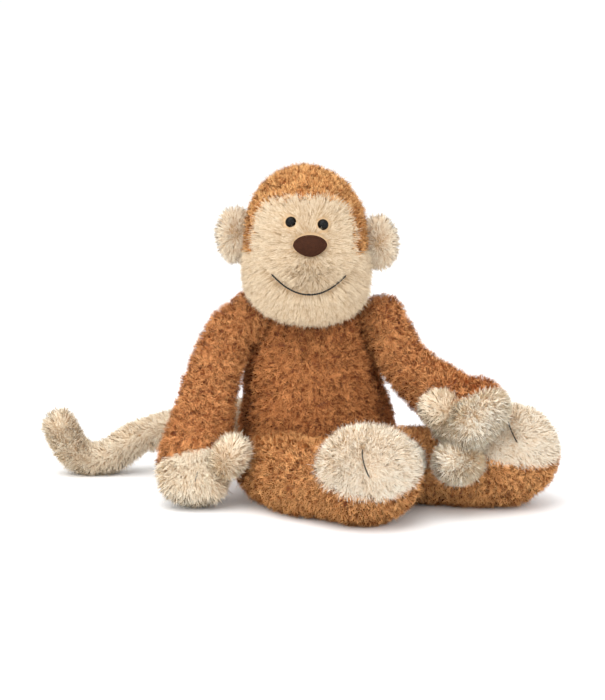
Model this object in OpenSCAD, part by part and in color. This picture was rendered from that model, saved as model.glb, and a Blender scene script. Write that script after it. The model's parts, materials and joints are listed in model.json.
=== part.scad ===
// Sitting stuffed monkey with long floppy limbs. Millimetres, +Z up, facing -Y.
// The origin is the middle of the flat seat under the torso.
// Every limb is a sewn pile skin round its own filling. Where a limb folds, one
// part ends in a round knuckle that turns in the hollow end of the part above it.

/* [Torso] */
// Width of the torso at the hips
torso_w = 112; // [108:1:116]
// Depth of the torso at the hips, front to back
torso_d = 88; // [84:1:90]
// Height of the torso, seat to neck
torso_h = 146; // [144:1:148]

/* [Head] */
// Width of the head across the cheeks
head_w = 93; // [88:1:96]
// Height of the crown above the seat
crown_z = 244; // [242:1:248]
// Diameter of an eye bead
eye_d = 8.4; // [7:0.1:9]
// Width of the nose pad
nose_w = 25; // [22:1:27]

/* [Limbs] */
// Radius of an arm at the shoulder
shoulder_r = 15; // [14:0.5:16]
// Radius of an arm at the wrist
wrist_r = 21; // [20:0.5:21.5]
// Radius of a leg at the hip
hip_r = 22; // [21:0.5:22.5]
// Radius of a leg at the ankle
ankle_r = 26; // [25:0.5:27]
// Radius of the round foot
foot_r = 34; // [32:0.5:35]
// Radius of the tail
tail_r = 8.5; // [7.5:0.5:9]

/* [Making] */
// Thickness of the pile fabric's backing and roots
pile = 1.6; // [1.4:0.1:1.8]
// Room between a knuckle and the hollow that it turns in
room = 1.9; // [1.8:0.1:2.1]

/* [Hidden] */

right = 0;
left = 1;
fur_brown = [0.72, 0.45, 0.24];
fur_cream = [0.88, 0.8, 0.68];
fill_white = [0.95, 0.95, 0.92];
bead_black = [0.04, 0.04, 0.05];
nose_brown = [0.26, 0.15, 0.12];
thread_dark = [0.2, 0.22, 0.2];

// Where each limb folds at rest, [right, left].
shoulder = [[-47, 6, 133], [47, 6, 133]];
arm_bow = [[-68, 2, 128], [61, -7, 95]];
elbow = [[-78, -14, 93], [80, -25, 89]];
wrist = [[-91, -38, 43], [104, -56, 76]];
fingertips = [[-93, -53, 20], [118, -81, 76]];
hip = [[-37, -33, 25.5], [37, -33, 25.5]];
knee = [[-8, -72, 27], [86, -38, 27]];
ankle = [[18, -88, 29.5], [121, -42, 30]];
sole = [[42, -102, 38], [146, -44, 41.5]];
tail_joints = [[-26, 53, 47], [-84, 60, 43], [-138, 57, 27]];
tail_sweep = [-182, 55, -9];
tail_end = [-197, 50, 38];

limb_sides = 14;
body_sides = 22;
tail_sides = 10;
seam_gap = 0.5;
filling_gap = 0.5;

// ---- Points on round soft forms ----

function unit(v) = v / norm(v);
function bow(a, m, b, t) = pow(1 - t, 2) * a + 2 * t * (1 - t) * m + t * t * b;
function along(a, m, b, t) = unit((1 - t) * (m - a) + t * (b - m));
function side_of(t, up) = unit(up - (up * t) * t);
function last(list) = list[len(list) - 1];
function flipped(list) = [for (i = [len(list) - 1 : -1 : 0]) list[i]];
function flat(lists) = [for (l = lists) each l];

// Radius at t from a list of [t, radius] pairs.
function girth(sizes, t) = lookup(t, sizes);

// How far a fold cuts back one end of a limb at angle a, for the four slopes
// [towards up, away from up, towards the other side, away from it].
function fold(slopes, a) = max(0, cos(a)) * slopes[0] + max(0, -cos(a)) * slopes[1]
    + max(0, sin(a)) * slopes[2] + max(0, -sin(a)) * slopes[3];

// A limb part: [start, bow, end, up, sizes, knuckle, start slopes, hollow, end slopes,
// spread]. knuckle is the radius of the ball at its start and hollow that of the dish
// at its end, or 0 for a plain round end. spread widens it across its up direction.
function limb_ring(limb, t, a_list) = let (
    dir = along(limb[0], limb[1], limb[2], t),
    up = side_of(dir, limb[3]),
    over = cross(dir, up),
    mid = bow(limb[0], limb[1], limb[2], t)
) [for (p = a_list) mid + p[0] * (cos(p[2]) * up + p[3] * sin(p[2]) * over) + p[1] * dir];

function turns(sides) = [for (i = [0 : sides - 1]) 360 * i / sides];

// Rings of a limb whose surface lies inset below its outside, from start to end.
function limb_rings(limb, inset, sides) = let (
    r0 = girth(limb[4], 0) - inset,
    r1 = girth(limb[4], 1) - inset,
    ball = limb[5] - inset,
    dish = limb[7] + inset,
    is_inner = inset > 0,
    wide = function (t) len(limb) > 9 ? lookup(t, limb[9]) : 1,
    back = function (a) limb[5] == 0 ? inset
        : (r0 + inset) * fold(limb[6], a) + seam_gap + inset,
    front = function (a) limb[7] == 0 ? inset
        : max((r1 + inset) * fold(limb[8], a) + seam_gap + (is_inner ? 2 * inset : 0),
            is_inner ? sqrt(max(0, dish * dish - pow(r1 - 0.4, 2))) : 0),
    start_cap = limb[5] == 0
        ? [for (b = [22, 45, 68]) limb_ring(limb, 0,
            [for (a = turns(sides)) [r0 * sin(b), inset - r0 * 0.9 * cos(b), a, wide(0)]])]
        : [for (k = [0.22, 0.55, 0.8, 1]) limb_ring(limb, 0, [for (a = turns(sides)) let (
            top = asin(min(0.95, back(a) / ball)),
            lat = -90 + (90 + top) * k) [ball * cos(lat), ball * sin(lat), a, 1]])],
    tube = [for (t = [0 : 0.25 : 1]) limb_ring(limb, t, [for (a = turns(sides))
        [girth(limb[4], t) - inset, back(a) * (1 - t) - front(a) * t, a, wide(t)]])],
    end_cap = limb[7] == 0
        ? [for (b = [68, 45, 22]) limb_ring(limb, 1,
            [for (a = turns(sides)) [r1 * sin(b), r1 * 0.9 * cos(b) - inset, a, wide(1)]])]
        : [for (k = [0, 0.35, 0.7]) limb_ring(limb, 1, [for (a = turns(sides)) let (
            low = asin(min(0.95, front(a) / dish)),
            lat = low + (90 - low) * k) [dish * cos(lat), -dish * sin(lat), a, 1]])]
) concat(start_cap, tube, end_cap);

function start_pole(limb, inset) = let (dir = along(limb[0], limb[1], limb[2], 0))
    limb[0] - (limb[5] == 0 ? (girth(limb[4], 0) - inset) * 0.98 - inset
        : limb[5] - inset) * dir;

function end_pole(limb, inset) = let (dir = along(limb[0], limb[1], limb[2], 1))
    limb[2] + (limb[7] == 0 ? (girth(limb[4], 1) - inset) * 0.98 - inset
        : -limb[7] - inset) * dir;

// Closes a stack of rings, all with the same number of points, with a point at each end.
module wrap(first, rings, final) {
    n = len(rings[0]);
    m = len(rings);
    points = concat([first], flat(rings), [final]);
    quads = [for (j = [0 : m - 2]) for (i = [0 : n - 1]) let (
        a = 1 + j * n + i, b = 1 + j * n + (i + 1) % n)
        each [[a, a + n, b + n], [a, b + n, b]]];
    fans = [for (i = [0 : n - 1]) let (k = (i + 1) % n)
        each [[0, 1 + i, 1 + k], [1 + (m - 1) * n + i, m * n + 1, 1 + (m - 1) * n + k]]];
    polyhedron(points, concat(quads, fans));
}

// The sewn skin of a limb: open at its first end, where it was turned and filled.
module limb_skin(limb, sides) {
    wrap(end_pole(limb, pile), concat(flipped(limb_rings(limb, pile, sides)),
        limb_rings(limb, 0, sides)), end_pole(limb, 0));
}

module limb_filling(limb, sides) {
    under = pile + filling_gap;
    wrap(start_pole(limb, under), limb_rings(limb, under, sides), end_pole(limb, under));
}

// An egg of half sizes [x, y, z] with its middle at c, turned so that its z lies on dir.
module egg(c, size, dir, up, sides) {
    over = cross(dir, side_of(dir, up));
    rings = [for (b = [-66, -40, -14, 14, 40, 66]) [for (a = turns(sides))
        c + size[2] * sin(b) * dir
        + cos(b) * (size[0] * cos(a) * side_of(dir, up) + size[1] * sin(a) * over)]];
    wrap(c - size[2] * dir, rings, c + size[2] * dir);
}

// A thread of radius r sewn through the points of route.
module thread(route, r, out) {
    rings = [for (i = [0 : len(route) - 1]) let (
        dir = unit(route[min(i + 1, len(route) - 1)] - route[max(i - 1, 0)]),
        up = side_of(dir, out), over = cross(dir, up))
        [for (a = turns(6)) route[i] + r * (cos(a) * up + sin(a) * over)]];
    wrap(route[0], rings, last(route));
}

// A stack of upright egg-shaped outlines: each of levels is
// [z, half width, front y, back y, middle x].
function stack_rings(levels, inset, sides) = [for (l = levels) let (
    mid = (l[2] + l[3]) / 2, half = (l[3] - l[2]) / 2)
    [for (a = turns(sides)) [l[4] + max(1, l[1] - inset) * cos(a),
        mid + max(1, half - inset) * sin(a), l[0]]]];

// Levels moved up at the bottom and down at the top by inset.
function sunk(levels, inset) = let (low = levels[0][0] + inset,
    high = last(levels)[0] - inset) [for (l = levels)
    [min(max(l[0], low + 0.02 * (l[0] - levels[0][0])),
        high - 0.02 * (last(levels)[0] - l[0])), l[1], l[2], l[3], l[4]]];

module stack(levels, inset, low, high, sides) {
    mid = function (l) [l[4], (l[2] + l[3]) / 2, l[0]];
    moved = sunk(levels, inset);
    wrap(mid(moved[0]) - [0, 0, low], stack_rings(moved, inset, sides),
        mid(last(moved)) + [0, 0, high]);
}

// ---- Limbs ----

function upper_arm(s) = [shoulder[s], arm_bow[s], elbow[s], [0, -1, 0],
    [[0, shoulder_r], [0.5, 15.2], [1, 16.2]], shoulder_r - 0.6, [0.1, 0.1, 0.1, 0.1],
    15.6, [0.45, 0.1, 0.25, 0.25]];
function forearm(s) = [elbow[s], (elbow[s] + wrist[s]) / 2, wrist[s], [0, -1, 0],
    [[0, 16.2], [0.5, 18], [1, wrist_r]], 15.6 - room, [0.45, 0.1, 0.25, 0.25],
    wrist_r - 0.5, [0.3, 0.2, 0.2, 0.2]];
function thigh(s) = [hip[s], (hip[s] + knee[s]) / 2, knee[s], [0, 0, 1],
    [[0, hip_r], [0.5, 23.2], [1, 24.2]], hip_r - 0.6, [0.3, 0.3, 0.3, 0.45],
    23.6, [0.25, 0.3, 0.25, 0.25]];
function shin(s) = [knee[s], (knee[s] + ankle[s]) / 2, ankle[s], [0, 0, 1],
    [[0, 24.2], [0.5, 25], [1, ankle_r]], 23.6 - room, [0.25, 0.3, 0.25, 0.25],
    ankle_r - 0.5, [0.3, 0.2, 0.1, 0.1]];

function tail_part(i) = [tail_joints[i], i == 2 ? tail_sweep
    : (tail_joints[i] + tail_joints[i + 1]) / 2, i == 2 ? tail_end : tail_joints[i + 1],
    [0, 0, 1], [[0, tail_r], [1, tail_r]], tail_r - 0.5 - (i == 0 ? 0 : room / 2),
    i == 0 ? [0.1, 0.1, 0.1, 0.1] : [0.3, 0.2, 0.2, 0.2],
    i == 2 ? 0 : tail_r - 0.5, [0.3, 0.2, 0.2, 0.2]];

// ---- Torso ----

torso_back = 51;
torso_front = torso_back - torso_d;
torso_levels = [[0, 42, torso_front + 12, torso_back - 9, 0],
    [5, 49, torso_front + 6, torso_back - 4, 0],
    [16, torso_w / 2 - 2, torso_front + 1, torso_back - 0.5, 0],
    [34, torso_w / 2, torso_front, torso_back, 0],
    [56, torso_w / 2 - 2.5, torso_front, torso_back - 1, 0],
    [78, torso_w / 2 - 7, torso_front + 3, torso_back - 5, -3],
    [98, torso_w / 2 - 10, torso_front + 8, torso_back - 10, -4.5],
    [116, torso_w / 2 - 15, torso_front + 14, torso_back - 14, -5],
    [130, torso_w / 2 - 20, torso_front + 19, torso_back - 17, -4],
    [torso_h - 5, 31, -8, 28, -3],
    [torso_h, 19, -3, 21, -1]];
neck = [0, 9, torso_h + 2];
neck_r = 11;

module torso_form(inset) {
    stack(torso_levels, inset, 0, 0, body_sides);
}

// A hollow for a limb's root knuckle that flares outwards for the limb's swing.
module root_hollow(limb, reach, flare, extra) {
    dir = along(limb[0], limb[1], limb[2], 0);
    r = limb[5] + 0.6 + room + extra;
    translate(limb[0]) rotate([0, acos(dir[2]), atan2(dir[1], dir[0])]) {
        sphere(r = r, $fn = 12);
        cylinder(h = reach, r1 = r, r2 = r + flare, $fn = 12);
    }
}

// The room that the limbs' roots need, grown by extra.
module limb_roots(extra) {
    for (s = [right, left]) {
        root_hollow(upper_arm(s), 10, 3, extra);
        root_hollow(thigh(s), 24, 8, extra);
    }
    translate(tail_joints[0]) sphere(r = tail_r + room + extra, $fn = 12);
    translate(neck) sphere(r = neck_r + room + extra, $fn = 12);
}

module torso_inside(inset) {
    difference() {
        torso_form(inset);
        limb_roots(inset);
    }
}

module torso_skin() {
    color(fur_brown) difference() {
        torso_form(0);
        limb_roots(0);
        torso_inside(pile);
        translate(neck - [0, 0, 20]) cylinder(h = 20, r = 6, $fn = 12);
    }
}

pouch_c = [0, 12, 15];
pouch_size = [30, 36, 10];

module torso_stuffing() {
    color(fill_white) difference() {
        torso_inside(pile + 0.3);
        egg(pouch_c, pouch_size + [0.4, 0.4, 0.4], [0, 0, 1], [0, 1, 0], 16);
    }
}

module seat_pellets() {
    color(nose_brown) egg(pouch_c, pouch_size, [0, 0, 1], [0, 1, 0], 16);
}

module neck_stuffing() {
    color(fill_white) egg(neck, [neck_r, neck_r, neck_r], [0, 0, 1], [0, 1, 0], 16);
}

// ---- Head ----

cheek = head_w / 91;
head_levels = [[139.5, 10, -43, -34, -4], [142.5, 20, -48, -28, -5], [147, 31, -53, -16, -6],
    [152, 39 * cheek, -55.5, 2, -7], [157, 41 * cheek, -57, 20, -8],
    [166, 42.5 * cheek, -57, 32, -8.7], [178, 42 * cheek, -54, 37, -8.8],
    [190, 40.8 * cheek, -51, 40, -9.2], [206, 39.5 * cheek, -48, 41, -9.5],
    [221, 35.5 * cheek, -42, 36, -9.7], [crown_z - 11, 27, -32, 28, -9.7],
    [crown_z - 4, 17, -21, 18, -10], [crown_z, 7, -10, 7, -10]];

// One column of the head's levels as a function of height.
function head_at(z, column) = lookup(z, [for (l = head_levels) [l[0], l[column]]]);
// Where the front of the face is, at x and z.
function face_y(x, z) = let (
    mid = (head_at(z, 2) + head_at(z, 3)) / 2,
    half = (head_at(z, 3) - head_at(z, 2)) / 2,
    off = min(0.98, abs(x - head_at(z, 4)) / head_at(z, 1))
) mid - half * sqrt(1 - off * off);

eye = [[-20.1, 0, 213.8], [3.4, 0, 211.9]];
nose_c = [-6, 0, 198];
mouth_c = [-6.5, 163];
mouth_half = 28;
mouth_lift = 12.5;

module head_form(inset) {
    stack(head_levels, inset, 0, 0, body_sides);
}

// The hollow under the head that the filling of the neck turns in.
module neck_hollow(extra) {
    translate(neck) sphere(r = neck_r + room + extra, $fn = 12);
}

brow_c = [-10.5, 168];
brow_size = [34, 59];
cheek_seam_z = 188;

// The front of the head, with the rounded brow line of the face panel's seam.
module face_side() {
    brow = [for (a = [0 : 15 : 345]) [brow_c[0] + brow_size[0] * sign(cos(a)) * pow(abs(cos(a)), 0.5),
        brow_c[1] + brow_size[1] * sign(sin(a)) * pow(abs(sin(a)), 0.5)]];
    translate([0, -7, 0]) rotate([90, 0, 0]) linear_extrude(height = 60) polygon(brow);
    translate([-70, -70, 120]) cube([140, 77, cheek_seam_z - 120]);
}

module head_skin() {
    difference() {
        head_form(0);
        head_form(pile);
        neck_hollow(0);
    }
}

module face_panel() {
    color(fur_cream) difference() {
        intersection() {
            head_skin();
            face_side();
        }
        for (s = [right, left]) eye_post_room(s);
    }
}

module head_cap() {
    color(fur_brown) difference() {
        head_skin();
        face_side();
    }
}

module head_stuffing() {
    color(fill_white) difference() {
        head_form(pile + 0.3);
        neck_hollow(0.3);
        for (s = [right, left]) eye_post_room(s);
    }
}

post_r = 1.5;
washer_r = 6;
washer_sink = 4;

module at_eye(s) {
    translate([eye[s][0], face_y(eye[s][0], eye[s][2]), eye[s][2]]) rotate([-90, 0, 0]) children();
}

module eye_post_room(s) {
    at_eye(s) translate([0, 0, -0.6]) sphere(d = eye_d + 1, $fn = 16);
    at_eye(s) cylinder(h = 14, r = post_r + 0.2, $fn = 12);
    at_eye(s) translate([0, 0, washer_sink - 0.3]) cylinder(h = 2.4, r = washer_r + 0.3, $fn = 12);
}

// A bead eye with its moulded ribbed post.
module eye_bead(s) {
    color(bead_black) {
        at_eye(s) translate([0, 0, -0.6]) sphere(d = eye_d, $fn = 32);
        at_eye(s) cylinder(h = 12, r = post_r, $fn = 24);
    }
}

module eye_washer(s) {
    color(fill_white) at_eye(s) translate([0, 0, washer_sink]) difference() {
        cylinder(h = 1.6, r = washer_r, $fn = 32);
        translate([0, 0, -1]) cylinder(h = 4, r = post_r + 0.05, $fn = 24);
    }
}

module nose() {
    color(nose_brown) difference() {
        egg([nose_c[0], face_y(nose_c[0], nose_c[2]) - 0.5, nose_c[2]],
            [nose_w / 2, 8, 5], [0, -1, 0.1], [1, 0, 0], 16);
        head_form(0);
    }
}

module mouth_stitch() {
    route = [for (k = [-1 : 0.125 : 1]) let (
        x = mouth_c[0] + mouth_half * k, z = mouth_c[1] + mouth_lift * k * k)
        [x, face_y(x, z) - 0.5, z]];
    color(thread_dark) thread(route, 0.55, [0, 0, 1]);
}

// ---- Ears ----

ear_root = [[-57, -3, 196.8], [40.6, -3, 190.8]];
ear_slices = [[-4, 12, 1.5], [-2, 14.5, 3.6], [1, 16.5, 4.4], [5.5, 17.5, 4.8],
    [9.5, 15.5, 4.8], [12.5, 10.5, 4.2], [14.5, 4.5, 2.6]];

module ear(s) {
    away = s == right ? -1 : 1;
    rings = [for (e = ear_slices) [for (a = turns(16)) ear_root[s]
        + [away * e[0], -away * e[2] * sin(a), e[1] * cos(a)]]];
    color(fur_cream) wrap(ear_root[s] + [away * -4.5, 0, 0], rings,
        ear_root[s] + [away * 15.2, 0, 0]);
}

// ---- Arms ----

module upper_arm_skin(s) {
    color(fur_brown) limb_skin(upper_arm(s), limb_sides);
}

module upper_arm_stuffing(s) {
    color(fill_white) limb_filling(upper_arm(s), limb_sides);
}

module forearm_skin(s) {
    color(fur_brown) limb_skin(forearm(s), limb_sides);
}

module forearm_stuffing(s) {
    color(fill_white) limb_filling(forearm(s), limb_sides);
}

palm_up = [[0, -1, 0], [-0.4, -0.5, 0.75]];
function hand(s) = [wrist[s], (wrist[s] + fingertips[s]) / 2, fingertips[s], palm_up[s],
    [[0, wrist_r - 0.5], [0.35, 17.5], [1, 14]], wrist_r - 0.5 - room, [0.3, 0.2, 0.2, 0.2],
    0, [0, 0, 0, 0], [[0, 1], [0.4, 1.45], [1, 1.55]]];

module hand_skin(s) {
    color(fur_cream) limb_skin(hand(s), limb_sides);
}

module hand_pellets(s) {
    color(nose_brown) limb_filling(hand(s), limb_sides);
}

module hand_solid(s) {
    wrap(start_pole(hand(s), 0), limb_rings(hand(s), 0, limb_sides), end_pole(hand(s), 0));
}

thumb_c = [[-66, -60, 40], [91.5, -77.5, 80]];
thumb_dir = [[0.62, 0, 0.78], [-0.9, -0.25, 0.35]];

module thumb(s) {
    color(fur_cream) difference() {
        egg(thumb_c[s], [10.5, 10, 14], unit(thumb_dir[s]), [0, -1, 0], limb_sides);
        hand_solid(s);
    }
}

module palm_stitch() {
    route = [for (k = [0 : 0.25 : 1]) [-92 - k, -66.6 - k, 26 - 8 * k]];
    color(thread_dark) thread(route, 0.45, [1, 0, 0]);
}

// ---- Legs ----

module thigh_skin(s) {
    color(fur_brown) limb_skin(thigh(s), limb_sides);
}

module thigh_stuffing(s) {
    color(fill_white) limb_filling(thigh(s), limb_sides);
}

module shin_skin(s) {
    color(fur_brown) limb_skin(shin(s), limb_sides);
}

module shin_stuffing(s) {
    color(fill_white) limb_filling(shin(s), limb_sides);
}

function foot(s) = [ankle[s], (ankle[s] + sole[s]) / 2, sole[s], [0, 0, 1],
    [[0, ankle_r + 1], [0.4, foot_r - 1], [0.8, foot_r], [1, foot_r - 3]],
    ankle_r - 0.5 - room, [0.3, 0.2, 0.1, 0.1], 0, [0, 0, 0, 0]];

// Which way the cream pad of a foot faces, and how far its seam is from the middle.
pad_faces = [[0, -0.44, 0.9], [0.2, -0.27, 0.94]];
pad_seam = [6, 9];
function foot_middle(s) = ankle[s] + 0.85 * (sole[s] - ankle[s]);

module pad_side(s) {
    n = unit(pad_faces[s]);
    translate(foot_middle(s) + pad_seam[s] * n)
        rotate([0, acos(n[2]), atan2(n[1], n[0])]) translate([-60, -60, 0]) cube([120, 120, 60]);
}

module foot_pad(s) {
    color(fur_cream) intersection() {
        limb_skin(foot(s), limb_sides + 2);
        pad_side(s);
    }
}

module heel(s) {
    color(fur_brown) difference() {
        limb_skin(foot(s), limb_sides + 2);
        pad_side(s);
    }
}

module foot_pellets(s) {
    color(nose_brown) limb_filling(foot(s), limb_sides + 2);
}

module foot_solid(s) {
    wrap(start_pole(foot(s), 0), limb_rings(foot(s), 0, limb_sides + 2), end_pole(foot(s), 0));
}

toe_c = [[60.5, -73.5, 40], [104, -80.2, 41.5]];
toe_dir = [[0.55, 0.82, 0.1], [-0.78, -0.6, 0.15]];

module big_toe(s) {
    long = s == right ? 14 : 18;
    color(fur_cream) difference() {
        egg(toe_c[s], [12, 12, long], unit(toe_dir[s]), [0, 0, 1], limb_sides);
        foot_solid(s);
    }
}

// Which way the stitch of a sole lies from the middle of the foot.
stitch_faces = [[-0.16, -0.88, 0.45], [-0.02, -0.74, 0.67]];
stitch_reach = foot_r + 0.7;

module sole_stitch(s) {
    n = unit(stitch_faces[s]);
    drop = unit([0, -n[2], n[1]]);
    route = [for (k = [-1 : 0.25 : 1]) foot_middle(s) + stitch_reach * unit(n + 0.3 * k * drop)];
    color(thread_dark) thread(route, 0.5, [1, 0, 0]);
}

// ---- Tail ----

module tail_skin(i) {
    color(fur_cream) limb_skin(tail_part(i), tail_sides);
}

module tail_stuffing(i) {
    color(fill_white) limb_filling(tail_part(i), tail_sides);
}

torso_skin();
torso_stuffing();
seat_pellets();
neck_stuffing();
head_cap();
face_panel();
head_stuffing();
eye_bead(right);  // eye_right
eye_bead(left);  // eye_left
eye_washer(right);  // eye_washer_right
eye_washer(left);  // eye_washer_left
nose();
mouth_stitch();
ear(right);  // ear_right
ear(left);  // ear_left
upper_arm_skin(right);  // upper_arm_skin_right
upper_arm_skin(left);  // upper_arm_skin_left
upper_arm_stuffing(right);  // upper_arm_stuffing_right
upper_arm_stuffing(left);  // upper_arm_stuffing_left
forearm_skin(right);  // forearm_skin_right
forearm_skin(left);  // forearm_skin_left
forearm_stuffing(right);  // forearm_stuffing_right
forearm_stuffing(left);  // forearm_stuffing_left
hand_skin(right);  // hand_skin_right
hand_skin(left);  // hand_skin_left
hand_pellets(right);  // hand_pellets_right
hand_pellets(left);  // hand_pellets_left
thumb(right);  // thumb_right
thumb(left);  // thumb_left
palm_stitch();  // palm_stitch_right
thigh_skin(right);  // thigh_skin_right
thigh_skin(left);  // thigh_skin_left
thigh_stuffing(right);  // thigh_stuffing_right
thigh_stuffing(left);  // thigh_stuffing_left
shin_skin(right);  // shin_skin_right
shin_skin(left);  // shin_skin_left
shin_stuffing(right);  // shin_stuffing_right
shin_stuffing(left);  // shin_stuffing_left
foot_pad(right);  // foot_pad_right
foot_pad(left);  // foot_pad_left
heel(right);  // heel_right
heel(left);  // heel_left
foot_pellets(right);  // foot_pellets_right
foot_pellets(left);  // foot_pellets_left
big_toe(right);  // big_toe_right
big_toe(left);  // big_toe_left
sole_stitch(right);  // sole_stitch_right
sole_stitch(left);  // sole_stitch_left
tail_skin(0);  // tail_root_skin
tail_stuffing(0);  // tail_root_stuffing
tail_skin(1);  // tail_middle_skin
tail_stuffing(1);  // tail_middle_stuffing
tail_skin(2);  // tail_tip_skin
tail_stuffing(2);  // tail_tip_stuffing
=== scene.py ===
import bpy
import json
import math
import numpy as np
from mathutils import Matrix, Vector, kdtree


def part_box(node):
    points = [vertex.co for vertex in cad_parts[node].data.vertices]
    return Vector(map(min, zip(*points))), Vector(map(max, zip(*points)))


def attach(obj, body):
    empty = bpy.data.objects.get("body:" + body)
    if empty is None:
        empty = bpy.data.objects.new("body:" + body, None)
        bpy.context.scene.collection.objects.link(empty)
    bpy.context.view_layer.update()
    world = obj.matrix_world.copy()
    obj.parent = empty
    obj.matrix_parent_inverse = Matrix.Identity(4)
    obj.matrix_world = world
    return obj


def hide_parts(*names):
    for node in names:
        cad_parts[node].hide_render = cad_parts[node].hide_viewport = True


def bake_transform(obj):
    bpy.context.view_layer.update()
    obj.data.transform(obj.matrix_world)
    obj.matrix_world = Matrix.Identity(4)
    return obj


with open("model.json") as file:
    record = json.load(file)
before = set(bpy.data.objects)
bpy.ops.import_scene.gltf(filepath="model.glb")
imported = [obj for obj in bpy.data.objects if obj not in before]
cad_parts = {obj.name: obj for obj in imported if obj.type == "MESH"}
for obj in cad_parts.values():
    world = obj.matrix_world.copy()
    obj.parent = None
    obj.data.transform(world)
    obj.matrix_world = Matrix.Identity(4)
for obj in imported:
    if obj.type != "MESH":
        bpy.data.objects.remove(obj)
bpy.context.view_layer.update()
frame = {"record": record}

# ---- Torso ----
# A pear of brown curly pile, cut as a front and a back, sewn up both sides and filled
# with loose fibre over a pouch of pellets. The pile is a short crimped curl that leans
# every way, so each curl is a bunch of thin ribbons that lean together.


def unit(v):
    """v, or every row of v, at length one."""
    v = np.asarray(v, float)
    return v / np.maximum(np.linalg.norm(v, axis=-1, keepdims=True), 1e-12)


def through(points, t):
    """Points on the smooth curve through the given rows, at t counted in rows."""
    p = np.asarray(points, float)
    ends = np.vstack([2 * p[0] - p[1], p, 2 * p[-1] - p[-2]])
    t = np.clip(np.atleast_1d(np.asarray(t, float)), 0, len(p) - 1)
    k = np.minimum(t.astype(int), len(p) - 2)
    f = (t - k)[:, None]
    a, b, c, d = ends[k], ends[k + 1], ends[k + 2], ends[k + 3]
    return 0.5 * (2 * b + (c - a) * f + (2 * a - 5 * b + 4 * c - d) * f ** 2
                  + (3 * b - a - 3 * c + d) * f ** 3)


def cloth(name, rings, first=None, final=None, lump=0.0, seed=0):
    """A skin over rings of points, closed by a point where one is given."""
    rings = np.asarray(rings, float)
    rows, sides = rings.shape[:2]
    points = rings.reshape(-1, 3)
    if lump:
        draw = np.random.default_rng(seed)
        waves = draw.normal(size=(9, 3)) * 130
        shift = np.sin(points @ waves.T + draw.uniform(0, 6.3, 9)).sum(1) / 3
        middle = rings.mean(1, keepdims=True)
        points = points + (unit(rings - middle)).reshape(-1, 3) * (shift * lump)[:, None]
    faces = []
    for j in range(rows - 1):
        for i in range(sides):
            k = (i + 1) % sides
            faces.append((j * sides + i, j * sides + k, (j + 1) * sides + k, (j + 1) * sides + i))
    if first is not None:
        points = np.vstack([points, first])
        faces += [((i + 1) % sides, i, len(points) - 1) for i in range(sides)]
    if final is not None:
        points = np.vstack([points, final])
        top = (rows - 1) * sides
        faces += [(top + i, top + (i + 1) % sides, len(points) - 1) for i in range(sides)]
    mesh = bpy.data.meshes.new(name)
    mesh.from_pydata(points.tolist(), [], faces)
    mesh.shade_smooth()
    piece = bpy.data.objects.new(name, mesh)
    bpy.context.scene.collection.objects.link(piece)
    return piece


def linear(red, green, blue):
    """A colour as seen, 0 to 255, as the linear values a shader takes."""
    c = np.array([red, green, blue]) / 255
    return tuple(np.where(c <= 0.04045, c / 12.92, ((c + 0.055) / 1.055) ** 2.4)) + (1,)


def mottle_group():
    """Patches of two colours, with the roughness and bump of the woven backing."""
    group = bpy.data.node_groups.new("woven backing", "ShaderNodeTree")
    for label, kind, value in (("Light", "NodeSocketColor", None), ("Dark", "NodeSocketColor", None),
                               ("Patch size", "NodeSocketFloat", 300), ("Weave", "NodeSocketFloat", 0.4)):
        s = group.interface.new_socket(name=label, in_out="INPUT", socket_type=kind)
        if value is not None:
            s.default_value = value
    for label, kind in (("Colour", "NodeSocketColor"), ("Roughness", "NodeSocketFloat"),
                        ("Normal", "NodeSocketVector")):
        group.interface.new_socket(name=label, in_out="OUTPUT", socket_type=kind)
    add, link = group.nodes.new, group.links.new
    given, out = add("NodeGroupInput"), add("NodeGroupOutput")
    place, patch = add("ShaderNodeTexCoord"), add("ShaderNodeTexNoise")
    patch.inputs["Detail"].default_value = 4
    link(place.outputs["Object"], patch.inputs["Vector"])
    link(given.outputs["Patch size"], patch.inputs["Scale"])
    mix = add("ShaderNodeMix")
    mix.data_type = "RGBA"
    link(patch.outputs["Fac"], mix.inputs["Factor"])
    link(given.outputs["Dark"], mix.inputs["A"])
    link(given.outputs["Light"], mix.inputs["B"])
    link(mix.outputs["Result"], out.inputs["Colour"])
    rough = add("ShaderNodeMapRange")
    rough.inputs["To Min"].default_value = 0.75
    rough.inputs["To Max"].default_value = 1.0
    link(patch.outputs["Fac"], rough.inputs["Value"])
    link(rough.outputs["Result"], out.inputs["Roughness"])
    weave, bump = add("ShaderNodeTexVoronoi"), add("ShaderNodeBump")
    weave.inputs["Scale"].default_value = 900
    bump.inputs["Distance"].default_value = 0.0006
    link(place.outputs["Object"], weave.inputs["Vector"])
    link(weave.outputs["Distance"], bump.inputs["Height"])
    link(given.outputs["Weave"], bump.inputs["Strength"])
    link(bump.outputs["Normal"], out.inputs["Normal"])
    return group


woven = mottle_group()


def backing_material(name, light, dark, patch=300, weave=0.4):
    """The backing between the roots of a pile."""
    material = bpy.data.materials.new(name)
    material.use_nodes = True
    tree = material.node_tree
    shader = tree.nodes["Principled BSDF"]
    shader.inputs["Sheen Weight"].default_value = 0.2
    use = tree.nodes.new("ShaderNodeGroup")
    use.node_tree = woven
    use.inputs["Light"].default_value = light
    use.inputs["Dark"].default_value = dark
    use.inputs["Patch size"].default_value = patch
    use.inputs["Weave"].default_value = weave
    tree.links.new(use.outputs["Colour"], shader.inputs["Base Color"])
    tree.links.new(use.outputs["Roughness"], shader.inputs["Roughness"])
    tree.links.new(use.outputs["Normal"], shader.inputs["Normal"])
    material.diffuse_color = light
    return material


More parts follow.
